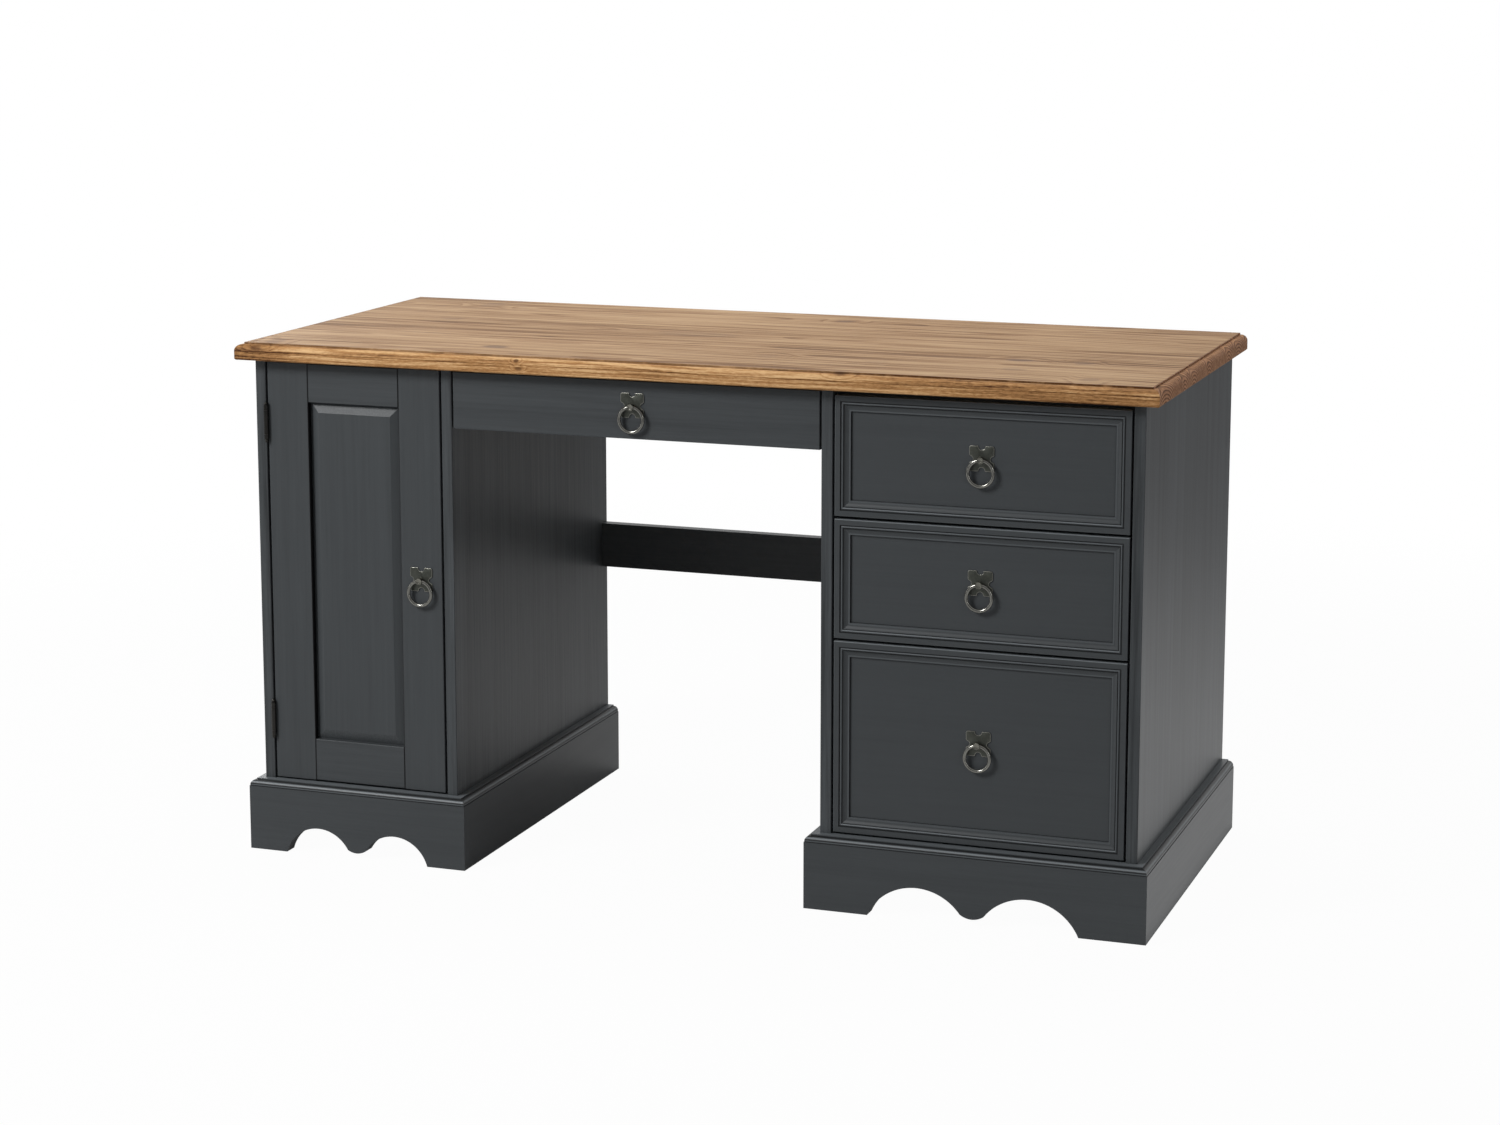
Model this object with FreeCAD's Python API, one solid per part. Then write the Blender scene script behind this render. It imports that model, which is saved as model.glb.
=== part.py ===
import FreeCAD, Part
import math
import os

# Pine computer desk on two pedestals: a hinged door on the left, three drawers on the right
# and a shallow drawer over the kneehole. Millimetres, X to the right, -Y towards the sitter,
# Z up, and the origin on the floor under the middle of the top.

os.makedirs("parts", exist_ok=True)
Vector = FreeCAD.Vector
along_x, along_y, along_z = Vector(1, 0, 0), Vector(0, 1, 0), Vector(0, 0, 1)

# Whole desk
desk_width = 1360.0
desk_depth = 600.0
desk_height = 757.0
overrun = 5.0            # how far every cutting tool reaches past the wood
board_arris = 1.2        # rounding on the sawn edges that a hand meets

# Top board with its moulded edge
top_thickness = 25.0
side_overhang = 22.0
front_overhang = 22.0
top_step = 2.6           # small upright step under the flat of the top
top_ledge = 2.0          # narrow ledge between the step and the round
top_round = 9.0
top_arris = 1.6

# Pedestals
left_width = 312.0
right_width = 450.0
board = 16.0             # side panels, base boards and shelf
back_thickness = 6.0
back_inset = 2.0
base_board = 16.0
rail_thickness = 18.0
rail_width = 60.0
rail_setback = 1.0       # between a closed front and the rail behind it

# Plinths
plinth_height = 106.0
plinth_projection = 18.0
plinth_board = 22.0
plinth_ledge = 9.6
plinth_step = 2.0
plinth_fillet = 0.6
plinth_ovolo = 7.0
plinth_quirk_drop = 1.5
plinth_back_thickness = 18.0
plinth_back_height = 60.0
block_side = 30.0
block_height = 64.0

# Scalloped cut-out in each plinth front, measured from the middle of its board
left_arch = {"half_span": 114.0, "peak_out": 61.0, "height": 40.0,
             "drop_half": 14.0, "shoulder": 12.5, "drop_end": 8.5}
right_arch = {"half_span": 150.0, "peak_out": 78.0, "height": 46.0,
              "drop_half": 17.0, "shoulder": 15.0, "drop_end": 9.5}

# Stretcher between the pedestals
stretcher_bottom = 338.0
stretcher_height = 70.0
stretcher_thickness = 18.0

# Gaps round the door and the drawer fronts
front_gap = 3.0
door_top_gap = 4.0
drawer_line_gap = 4.0
front_thickness = 20.0

# Door: a frame of stiles and rails round a raised panel
stile_width = 65.0
top_rail_height = 56.0
bottom_rail_height = 62.0
door_groove = 6.0
door_groove_depth = 9.0
groove_play = 0.2
panel_bevel = 15.0
panel_edge_depth = 9.0   # from the door's face to the panel's edge
panel_field_depth = 3.0

# Drawer fronts: the lower one takes what the others leave of the cabinet's height
upper_front_gap = 9.0    # between the top board and the upper drawer's front
middle_drawer_height = 167.0
upper_drawer_height = 167.0
centre_drawer_height = 82.0
centre_drawer_gap = 2.5

# Drawer boxes and their wooden runners
box_side = 12.0
box_play = 4.0           # between a box and the cabinet wall
box_rise = 12.0          # box bottom above the front's bottom
box_drop = 22.0          # box top below the front's top
centre_box_rise = 8.0
centre_box_drop = 8.0
box_back_gap = 20.0
centre_box_depth = 400.0
bottom_thickness = 4.0
bottom_groove_depth = 5.0
bottom_lift = 8.0
bottom_play = 0.1
runner_height = 16.0
runner_bite = 6.0        # how far a runner reaches into a drawer side
runner_play = 0.3
runner_front_gap = 8.0
runner_level_share = 0.5

# Moulding on the three pedestal drawer fronts, read inwards from the edge
lip_width = 8.0
lip_quirk = 1.4
lip_quirk_depth = 1.5
bead_width = 2.8
bead_top_depth = 0.5
bead_quirk = 1.2
bead_quirk_depth = 2.2
cove_start_depth = 1.5
cove_width = 6.2
cove_end_depth = 4.2
cove_sag = 0.7
inner_lip = 2.2
field_depth = 7.0

# Handle: backplate, stud with an eye, nut and a loose ring
plate_size = 34.8
plate_thickness = 1.6
plate_rise = 1.6         # plate centre above the eye
plate_corner = 2.5
plate_top_notch = 5.0
plate_top_notch_depth = 5.4
plate_bottom_notch = 4.8
plate_bottom_notch_depth = 5.4
plate_side_notch = 5.2
plate_side_notch_offset = 0.6
stud_radius = 5.3
stud_face_radius = 4.8
stud_face_thickness = 1.2
stud_reach = 4.6         # from the eye's centre to the flat face of the stud
stud_neck = 2.4
eye_clearance = 0.5
eye_flare = 1.3
eye_straight = 1.5       # half the eye's straight length
ring_wire = 2.6
ring_radius = 17.8
nut_radius = 5.0
nut_height = 4.0
neck_play = 0.1
handle_rise = 5.0        # eye above the middle of its drawer front
door_handle_rise = 3.0

# Hinges of the door
barrel_radius = 3.4
barrel_stand = 3.6       # barrel axis in front of the door's face
pin_radius = 1.5
pin_play = 0.05
pin_tip_radius = 2.8
knuckle_end = 7.0
knuckle_middle = 36.0
knuckle_play = 0.3
leaf_thickness = 1.2
leaf_depth = 15.0
hinge_from_end = 88.0    # hinge's middle from the door's end

# Door catch and its strike
catch_width = 13.0
catch_depth = 16.0
catch_height = 34.0
catch_gap = 0.3
strike_thickness = 1.2
strike_play = 4.0
catch_from_top = 130.0
strike_margin = 2.0

# Shelf
shelf_height = 418.0
shelf_setback = 26.0
shelf_play = 1.0
pin_hole_depth = 8.0
shelf_pin_radius = 2.5
shelf_pin_reach = 9.0
shelf_pin_inset = 60.0
shelf_seat = 0.1

# Assembly screws
screw_radius = 2.0
screw_head_radius = 4.0
screw_head_height = 2.2
screw_length = 38.0
screw_play = 0.05
screw_from_side = 40.0
stretcher_screw_from_edge = 18.0
stretcher_screw_gap = 1.0   # between a screw's head and the back panel

# Lines that the pieces share
front_face = -desk_depth / 2 + front_overhang
rear_face = desk_depth / 2
under_top = desk_height - top_thickness
left_outer = -desk_width / 2 + side_overhang
left_inner = left_outer + left_width
right_outer = desk_width / 2 - side_overhang
right_inner = right_outer - right_width
fronts_bottom = plinth_height + front_gap
front_back = front_face + front_thickness
back_face = rear_face - back_inset - back_thickness
rail_front = front_back + rail_setback

made = []


def save(name, solids):
    shape = solids[0] if len(solids) == 1 else Part.makeCompound(solids)
    shape.exportStep(os.path.join("parts", name + ".step"))
    good = all(one.isValid() and len(one.Solids) == 1 for one in solids)
    made.append(name)
    size = shape.BoundBox
    print(f"{name}: {len(shape.Solids)} solids, sound {good}, "
          f"{size.XLength:.1f} x {size.YLength:.1f} x {size.ZLength:.1f}")


def box(low, high):
    x, y, z = (high[i] - low[i] for i in range(3))
    return Part.makeBox(x, y, z, Vector(*low))


def rod(radius, length, start, direction):
    return Part.makeCylinder(radius, length, start, direction)


def face_from(start, moves, place):
    # moves holds end points of lines, or pairs of a middle and an end point for arcs
    edges = []
    here = place(*start)
    for move in moves:
        if isinstance(move[0], tuple):
            middle, there = place(*move[0]), place(*move[1])
            edges.append(Part.Arc(here, middle, there).toShape())
        else:
            there = place(*move)
            edges.append(Part.makeLine(here, there))
        here = there
    edges.append(Part.makeLine(here, place(*start)))
    return Part.Face(Part.Wire(edges))


def prism(start, moves, place, travel):
    return face_from(start, moves, place).extrude(travel)


def plan_prism(points, bottom, top):
    def place(x, y):
        return Vector(x, y, bottom)
    return prism(points[0], points[1:], place, Vector(0, 0, top - bottom))


def soften(solid, radius, wanted):
    edges = [edge for edge in solid.Edges if wanted(edge.BoundBox)]
    return solid.makeFillet(radius, edges)


def flat_at(value, low, high):
    near = board_arris / 4
    return abs(low - value) < near and abs(high - value) < near


def upright_front_edge(size):
    # long upright edges on the front plane
    return flat_at(front_face, size.YMin, size.YMax) and size.ZLength > board


def front_edge(size):
    return flat_at(front_face, size.YMin, size.YMax)


def quarter_middle(radius):
    return radius * (1 - math.sqrt(0.5))


# Assembly screws stand where the rails meet the top and where the stretcher meets the panels
screws = []


def screw(start, direction):
    head = rod(screw_head_radius, screw_head_height, start - direction * screw_head_height, direction)
    screws.append((start, direction))
    return head.fuse(rod(screw_radius, screw_length, start, direction)).removeSplitter()


def screw_holes(solid):
    for start, direction in screws:
        solid = solid.cut(rod(screw_radius + screw_play, screw_length + screw_play, start, direction))
    return solid


def screw_places():
    for low, high in ((left_outer, left_inner), (right_inner, right_outer)):
        for x in (low + board + screw_from_side, high - board - screw_from_side):
            for y in (rail_front + rail_width / 2, back_face - rail_width / 2):
                yield Vector(x, y, under_top - rail_thickness), along_z
    for z in (stretcher_bottom + stretcher_screw_from_edge,
              stretcher_bottom + stretcher_height - stretcher_screw_from_edge):
        y = back_face - screw_head_radius - stretcher_screw_gap
        yield Vector(left_inner - board, y, z), along_x
        yield Vector(right_inner + board, y, z), -along_x


def assembly_screws():
    save("assembly_screws", [screw(*place) for place in screw_places()])


def desk_top():
    slab = box((-desk_width / 2, -desk_depth / 2, under_top), (desk_width / 2, desk_depth / 2, desk_height))
    bend = quarter_middle(top_round)
    inset = top_round + top_ledge
    moulding = [(inset, overrun), (inset, -top_step), (top_round, -top_step),
                ((bend, -top_step - bend), (0, -top_step - top_round)),
                (-overrun, -top_step - top_round)]
    arris = [(top_arris, -top_thickness), (0, top_arris - top_thickness),
             (-overrun, top_arris - top_thickness)]

    def left(u, v):
        return Vector(-desk_width / 2 + u, -desk_depth / 2 - overrun, desk_height + v)

    def right(u, v):
        return Vector(desk_width / 2 - u, -desk_depth / 2 - overrun, desk_height + v)

    def front(u, v):
        return Vector(-desk_width / 2 - overrun, -desk_depth / 2 + u, desk_height + v)

    back_run = Vector(0, desk_depth + 2 * overrun, 0)
    side_run = Vector(desk_width + 2 * overrun, 0, 0)
    for place, run in ((left, back_run), (right, back_run), (front, side_run)):
        slab = slab.cut(prism((-overrun, overrun), moulding, place, run))
        slab = slab.cut(prism((-overrun, -top_thickness), arris, place, run))
    save("desk_top", [screw_holes(slab)])


def side_panel(name, x):
    panel = box((x, front_face, plinth_height), (x + board, rear_face, under_top))
    save(name, [screw_holes(soften(panel, board_arris, upright_front_edge))])


def drilled_side(name, x, inner_x, direction):
    # a side of the left cabinet, with the holes for the shelf pins
    panel = box((x, front_face, plinth_height), (x + board, rear_face, under_top))
    panel = screw_holes(soften(panel, board_arris, upright_front_edge))
    for y in shelf_pin_rows():
        start = Vector(inner_x, y, shelf_pin_level())
        panel = panel.cut(rod(shelf_pin_radius, pin_hole_depth, start, direction))
    save(name, [panel])


def shelf_pin_rows():
    return front_back + shelf_setback + shelf_pin_inset, back_face - shelf_pin_inset


def shelf_pin_level():
    return shelf_height - shelf_seat - shelf_pin_radius


def shelf():
    low_x, high_x = left_outer + board, left_inner - board
    save("cabinet_shelf", [box((low_x + shelf_play, front_back + shelf_setback, shelf_height),
                               (high_x - shelf_play, back_face, shelf_height + board))])
    pins = []
    length = pin_hole_depth + shelf_pin_reach
    for y in shelf_pin_rows():
        left_end = Vector(low_x - pin_hole_depth, y, shelf_pin_level())
        right_end = Vector(high_x + pin_hole_depth, y, shelf_pin_level())
        pins += [rod(shelf_pin_radius, length, left_end, along_x),
                 rod(shelf_pin_radius, length, right_end, -along_x)]
    save("shelf_pins", pins)


def cabinet_core(name, low_x, high_x):
    # base board inside the plinth, back panel and the two rails under the top
    inner_low, inner_high = low_x + board, high_x - board
    hold = plinth_board - plinth_projection
    save(name + "_base", [box((low_x + hold, front_face + hold, plinth_height - base_board),
                              (high_x - hold, back_face, plinth_height))])
    save(name + "_back", [box((inner_low, back_face, plinth_height),
                              (inner_high, rear_face - back_inset, under_top))])
    rails = [box((inner_low, y, under_top - rail_thickness), (inner_high, y + rail_width, under_top))
             for y in (rail_front, back_face - rail_width)]
    save(name + "_top_rails", [screw_holes(rail) for rail in rails])


def plinth_cutter(place, run):
    # everything outside the moulded upper edge; u runs inwards from the face, v up from the top
    step_in = plinth_projection - plinth_ledge
    round_start = step_in - plinth_fillet
    round_bottom = -plinth_step - plinth_ovolo
    bend = quarter_middle(plinth_ovolo)
    moves = [(step_in, overrun), (step_in, -plinth_step), (round_start, -plinth_step),
             ((round_start - plinth_ovolo + bend, -plinth_step - bend),
              (round_start - plinth_ovolo, round_bottom)),
             (round_start - plinth_ovolo, round_bottom - plinth_quirk_drop),
             (-overrun, round_bottom - plinth_quirk_drop)]
    return prism((-overrun, overrun), moves, place, run)


def arch_cutter(centre, arch, start_y, run):
    def place(x, z):
        return Vector(centre + x, start_y, z)
    span, peak, height = arch["half_span"], arch["peak_out"], arch["height"]
    nose, shoulder = arch["drop_half"], arch["shoulder"]
    moves = [((-peak, height), (-nose, shoulder)), ((0, arch["drop_end"]), (nose, shoulder)),
             ((peak, height), (span, 0)), (span, -overrun), (-span, -overrun)]
    return prism((-span, 0), moves, place, run)


def plinth(name, low_x, high_x, arch):
    left, right = low_x - plinth_projection, high_x + plinth_projection
    front = front_face - plinth_projection
    inner_left, inner_right, inner_front = left + plinth_board, right - plinth_board, front + plinth_board
    long_y = Vector(0, desk_depth + overrun, 0)
    long_x = Vector(right - left + 2 * overrun, 0, 0)

    front_board = plan_prism([(left, front), (right, front), (inner_right, inner_front),
                              (inner_left, inner_front)], 0, plinth_height)
    front_board = front_board.cut(plinth_cutter(
        lambda u, v: Vector(left - overrun, front + u, plinth_height + v), long_x))
    front_board = front_board.cut(arch_cutter((left + right) / 2, arch, front - overrun,
                                              Vector(0, plinth_board + 2 * overrun, 0)))
    save(name + "_plinth_front", [front_board])

    left_board = plan_prism([(left, front), (inner_left, inner_front), (inner_left, rear_face),
                             (left, rear_face)], 0, plinth_height)
    left_board = left_board.cut(plinth_cutter(
        lambda u, v: Vector(left + u, front - overrun, plinth_height + v), long_y))
    right_board = plan_prism([(right, front), (inner_right, inner_front), (inner_right, rear_face),
                              (right, rear_face)], 0, plinth_height)
    right_board = right_board.cut(plinth_cutter(
        lambda u, v: Vector(right - u, front - overrun, plinth_height + v), long_y))
    save(name + "_plinth_sides", [left_board, right_board])

    # the rail behind and the corner blocks stop under the base board
    under_base = plinth_height - base_board
    rail = box((inner_left, rear_face - back_inset - plinth_back_thickness, under_base - plinth_back_height),
               (inner_right, rear_face - back_inset, under_base))
    blocks = []
    for x in (inner_left, inner_right - block_side):
        for y in (inner_front, rail.BoundBox.YMin - block_side):
            blocks.append(box((x, y, under_base - block_height),
                              (x + block_side, y + block_side, under_base)))
    return rail, blocks


def stretcher():
    low_y = rear_face - back_inset - stretcher_thickness
    rail = box((left_inner, low_y, stretcher_bottom),
               (right_inner, low_y + stretcher_thickness, stretcher_bottom + stretcher_height))
    save("stretcher_rail", [screw_holes(rail)])


def mitred_side(length, band, start, moves, depth):
    # one side of a mitred frame: x runs along it, z inwards and y back into the board
    strip = prism(start, moves, lambda s, d: Vector(0, d, s), Vector(length, 0, 0))
    wedge = prism((0, 0), [(length, 0), (length - band, band), (band, band)],
                  lambda x, z: Vector(x, -overrun, z), Vector(0, depth + 2 * overrun, 0))
    return strip.common(wedge)


def moulded_front(low, high):
    # drawer front with a mitred moulding round a sunk field; low and high are corners in X and Z
    width, height = high[0] - low[0], high[1] - low[1]
    quirk_end = lip_width + lip_quirk
    bead_end = quirk_end + bead_width
    cove_start = bead_end + bead_quirk
    cove_end = cove_start + cove_width
    band = cove_end + inner_lip
    bend = quarter_middle(board_arris)
    cove_middle = ((cove_start + cove_end) / 2, (cove_start_depth + cove_end_depth) / 2 + cove_sag)
    moves = [(0, board_arris), ((bend, bend), (board_arris, 0)), (lip_width, 0),
             (lip_width, lip_quirk_depth), (quirk_end, lip_quirk_depth),
             (((quirk_end + bead_end) / 2, bead_top_depth), (bead_end, lip_quirk_depth)),
             (bead_end, bead_quirk_depth), (cove_start, bead_quirk_depth), (cove_start, cove_start_depth),
             (cove_middle, (cove_end, cove_end_depth)), (band, cove_end_depth), (band, field_depth)]
    body = box((low[0], front_face + field_depth, low[1]), (high[0], front_back, high[1]))
    corners = ((low[0], low[1], width, 0), (low[0], high[1], height, 90),
               (high[0], high[1], width, 180), (high[0], low[1], height, 270))
    for x, z, length, turn in corners:
        side = mitred_side(length, band, (0, field_depth), moves, field_depth)
        side.rotate(Vector(0, 0, 0), along_y, turn)
        side.translate(Vector(x, front_face, z))
        body = body.fuse(side)
    return body.removeSplitter()


def plain_front(low, high):
    body = box((low[0], front_face, low[1]), (high[0], front_back, high[1]))
    return soften(body, board_arris, front_edge)


def plate_outline(x, z, seat):
    # X shaped backplate: a square with a notch in the middle of each side
    half = plate_size / 2

    def place(u, v):
        return Vector(x + u, seat, z + v)
    corner = half - plate_corner
    start = (-corner, half)
    top = half - plate_top_notch_depth
    bottom = plate_bottom_notch_depth - half
    waist_x = half - plate_side_notch
    low_waist = -plate_side_notch_offset
    moves = [(-plate_top_notch, half), ((0, top), (plate_top_notch, half)), (corner, half),
             (half, corner), (half, low_waist + plate_side_notch),
             ((waist_x, low_waist), (half, low_waist - plate_side_notch)),
             (half, -corner), (corner, -half), (plate_bottom_notch, -half),
             ((0, bottom), (-plate_bottom_notch, -half)), (-corner, -half), (-half, -corner),
             (-half, low_waist - plate_side_notch),
             ((-waist_x, low_waist), (-half, low_waist + plate_side_notch)), (-half, corner)]
    return prism(start, moves, place, Vector(0, -plate_thickness, 0))


def handle(name, x, z, seat):
    # backplate on the face at seat, stud with its eye, the nut behind the board, and the loose ring
    plate = plate_outline(x, z + plate_rise, seat)
    plate = plate.cut(rod(stud_neck + neck_play, plate_thickness + 2 * overrun,
                          Vector(x, seat + overrun, z), -along_y))
    eye = Vector(x, seat - plate_thickness - stud_radius, z)
    face_back = stud_face_thickness - stud_reach
    ball_start = math.sqrt(stud_radius ** 2 - face_back ** 2)
    ball_end = math.sqrt(stud_radius ** 2 - stud_neck ** 2)
    shank_end = front_back + nut_height - eye.y
    stud = face_from((0, -stud_reach), [(stud_face_radius, -stud_reach), (stud_face_radius, face_back),
                                        (ball_start, face_back),
                                        ((stud_radius, 0), (stud_neck, ball_end)),
                                        (stud_neck, shank_end), (0, shank_end)],
                     lambda r, d: eye + Vector(0, d, r)).revolve(eye, along_y, 360)
    hole = ring_wire + eye_clearance
    mouth = stud_radius + eye_clearance
    throat = face_from((-mouth, 0), [(-mouth, hole + eye_flare), (-eye_straight, hole),
                                     (eye_straight, hole), (mouth, hole + eye_flare), (mouth, 0)],
                       lambda u, v: eye + Vector(u, -v, 0)).revolve(eye, along_x, 360)
    stud = stud.cut(throat)
    nut = rod(nut_radius, nut_height, Vector(x, front_back, z), along_y)
    nut = nut.cut(rod(stud_neck, nut_height, Vector(x, front_back, z), along_y))
    save(name + "_handle", [plate, stud, nut])
    ring_centre = eye - Vector(0, 0, ring_radius)
    save(name + "_ring", [Part.makeTorus(ring_radius, ring_wire, ring_centre, along_y)])


def stud_hole(solid, x, z):
    return solid.cut(rod(stud_neck + neck_play, front_thickness + overrun,
                         Vector(x, front_face - overrun, z), along_y))


def drawer(name, wall_low, wall_high, bottom, height, gap, moulded, rise, drop, depth):
    # wall_low and wall_high are the faces that carry the runners; returns the runners
    low, high = (wall_low + gap, bottom), (wall_high - gap, bottom + height)
    centre_x, centre_z = (low[0] + high[0]) / 2, bottom + height / 2 + handle_rise
    front = moulded_front(low, high) if moulded else plain_front(low, high)
    save(name + "_front", [stud_hole(front, centre_x, centre_z)])
    handle(name, centre_x, centre_z, front_face + field_depth if moulded else front_face)

    left, right = wall_low + box_play, wall_high - box_play
    base, top = bottom + rise, bottom + height - drop
    back = front_back + depth
    level = base + (top - base) * runner_level_share
    slot = (level - runner_height / 2 - runner_play, level + runner_height / 2 + runner_play)
    floor = base + bottom_lift
    sides, runners = [], []
    for x, outwards in ((left, -1), (right - box_side, 1)):
        side = box((x, front_back, base), (x + box_side, back, top))
        outer = x if outwards < 0 else x + box_side
        inner = x + box_side if outwards < 0 else x
        slot_x = sorted((outer + outwards * overrun, outer - outwards * (runner_bite + runner_play)))
        side = side.cut(box((slot_x[0], front_back + runner_front_gap - runner_play, slot[0]),
                            (slot_x[1], back + overrun, slot[1])))
        groove_x = sorted((inner - outwards * overrun, inner + outwards * bottom_groove_depth))
        side = side.cut(box((groove_x[0], front_back - overrun, floor - bottom_play),
                            (groove_x[1], back + overrun, floor + bottom_thickness + bottom_play)))
        sides.append(side)
        runner_x = sorted((outer + outwards * box_play, outer - outwards * runner_bite))
        runners.append(box((runner_x[0], front_back + runner_front_gap, level - runner_height / 2),
                           (runner_x[1], back, level + runner_height / 2)))
    save(name + "_sides", sides)
    save(name + "_back", [box((left + box_side, back - box_side, floor + bottom_thickness),
                              (right - box_side, back, top))])
    hold = box_side - bottom_groove_depth + bottom_play
    save(name + "_bottom", [box((left + hold, front_back, floor),
                                (right - hold, back, floor + bottom_thickness))])
    return runners


def pedestal_drawers():
    wall_low, wall_high = right_inner + board, right_outer - board
    depth = back_face - box_back_gap - front_back
    bottom = fronts_bottom
    lower_height = (under_top - upper_front_gap - upper_drawer_height - middle_drawer_height
                    - 2 * drawer_line_gap - bottom)
    runners = []
    for name, height in (("lower_drawer", lower_height), ("middle_drawer", middle_drawer_height),
                         ("upper_drawer", upper_drawer_height)):
        runners += drawer(name, wall_low, wall_high, bottom, height, front_gap, True,
                          box_rise, box_drop, depth)
        bottom += height + drawer_line_gap
    save("pedestal_drawer_runners", runners)


def centre_drawer():
    bottom = under_top - door_top_gap - centre_drawer_height
    runners = drawer("centre_drawer", left_inner, right_inner, bottom, centre_drawer_height,
                     centre_drawer_gap, False, centre_box_rise, centre_box_drop, centre_box_depth)
    save("centre_drawer_runners", runners)


def door_edges():
    return left_outer + board + front_gap, left_inner - board - front_gap, fronts_bottom, under_top - door_top_gap


def door():
    left, right, bottom, top = door_edges()
    groove_back = front_face + panel_edge_depth + door_groove
    groove_front = groove_back - door_groove
    inner_left, inner_right = left + stile_width, right - stile_width
    rail_low, rail_high = bottom + bottom_rail_height, top - top_rail_height

    def groove(low, high):
        return box((low[0], groove_front - groove_play, low[1]), (high[0], groove_back + groove_play, high[1]))

    for name, x, start, end in (("door_left_stile", left, inner_left - door_groove_depth, inner_left + overrun),
                                ("door_right_stile", inner_right, inner_right - overrun,
                                 inner_right + door_groove_depth)):
        stile = box((x, front_face, bottom), (x + stile_width, front_back, top))
        stile = soften(stile, board_arris, upright_front_edge)
        stile = stile.cut(groove((start, bottom - overrun), (end, top + overrun)))
        if name == "door_right_stile":
            stile = stud_hole(stile, *door_handle_place())
        save(name, [stile])

    reach = door_groove_depth - groove_play
    for name, low, high, cut_low, cut_high in (
            ("door_top_rail", rail_high, top, rail_high - overrun, rail_high + door_groove_depth),
            ("door_bottom_rail", bottom, rail_low, rail_low - door_groove_depth, rail_low + overrun)):
        rail = box((inner_left, front_face, low), (inner_right, front_back, high))
        rail = soften(rail, board_arris, rail_edge)
        rail = rail.fuse(box((inner_left - reach, groove_front, low), (inner_right + reach, groove_back, high)))
        rail = rail.cut(groove((inner_left - door_groove_depth - overrun, cut_low),
                               (inner_right + door_groove_depth + overrun, cut_high)))
        save(name, [rail.removeSplitter()])

    tongue = box((inner_left - reach, groove_front, rail_low - reach),
                 (inner_right + reach, groove_back, rail_high + reach))
    play = groove_play
    low_x, high_x = inner_left + play, inner_right - play
    low_z, high_z = rail_low + play, rail_high - play
    field_y = front_face + panel_field_depth
    raised = Part.makeLoft([
        Part.makePolygon([Vector(low_x, groove_front, low_z), Vector(high_x, groove_front, low_z),
                          Vector(high_x, groove_front, high_z), Vector(low_x, groove_front, high_z),
                          Vector(low_x, groove_front, low_z)]),
        Part.makePolygon([Vector(low_x + panel_bevel, field_y, low_z + panel_bevel),
                          Vector(high_x - panel_bevel, field_y, low_z + panel_bevel),
                          Vector(high_x - panel_bevel, field_y, high_z - panel_bevel),
                          Vector(low_x + panel_bevel, field_y, high_z - panel_bevel),
                          Vector(low_x + panel_bevel, field_y, low_z + panel_bevel)])], True, True)
    save("door_panel", [tongue.fuse(raised).removeSplitter()])


def rail_edge(size):
    return flat_at(front_face, size.YMin, size.YMax) and size.XLength > board


def door_handle_place():
    left, right, bottom, top = door_edges()
    return right - stile_width / 2, (bottom + top) / 2 + door_handle_rise


def hinge_set():
    left, right, bottom, top = door_edges()
    x, y = left - front_gap / 2, front_face - barrel_stand
    total = 2 * knuckle_end + knuckle_middle
    cabinet_leaves, door_leaves, pins = [], [], []
    for middle in (bottom + hinge_from_end, top - hinge_from_end):
        low = middle - total / 2
        joints = (low, low + knuckle_end, low + knuckle_end + knuckle_middle, low + total)
        cabinet_x, door_x = x - front_gap / 2, x + front_gap / 2 - leaf_thickness
        plate_y = (front_face + pin_play, front_face + leaf_depth)
        parts = {"cabinet": [box((cabinet_x, plate_y[0], low), (cabinet_x + leaf_thickness, plate_y[1], joints[3]))],
                 "door": [box((door_x, plate_y[0], low), (door_x + leaf_thickness, plate_y[1], joints[3]))]}
        knuckles = (("cabinet", cabinet_x, joints[0], joints[1]),
                    ("door", door_x, joints[1] + knuckle_play, joints[2] - knuckle_play),
                    ("cabinet", cabinet_x, joints[2], joints[3]))
        for owner, leaf_x, start, end in knuckles:
            parts[owner].append(rod(barrel_radius, end - start, Vector(x, y, start), along_z))
            parts[owner].append(box((leaf_x, y, start), (leaf_x + leaf_thickness, plate_y[0], end)))
        bore = rod(pin_radius + pin_play, total + 2 * overrun, Vector(x, y, low - overrun), along_z)
        for owner, leaves in (("cabinet", cabinet_leaves), ("door", door_leaves)):
            pieces = parts[owner]
            leaves.append(pieces[0].fuse(pieces[1:]).cut(bore).removeSplitter())
        pin = rod(pin_radius, total + 2 * pin_play, Vector(x, y, low - pin_play), along_z)
        tip_drop = math.sqrt(pin_tip_radius ** 2 - pin_radius ** 2)
        for end, way in ((low - pin_play, -1), (joints[3] + pin_play, 1)):
            tip = Part.makeSphere(pin_tip_radius, Vector(x, y, end + way * tip_drop))
            keep = sorted((end, end + way * 2 * pin_tip_radius))
            tip = tip.common(box((x - barrel_radius, y - barrel_radius, keep[0]),
                                 (x + barrel_radius, y + barrel_radius, keep[1])))
            pin = pin.fuse(tip)
        pins.append(pin.removeSplitter())
    save("hinge_cabinet_leaves", cabinet_leaves)
    save("hinge_door_leaves", door_leaves)
    save("hinge_pins", pins)


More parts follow.
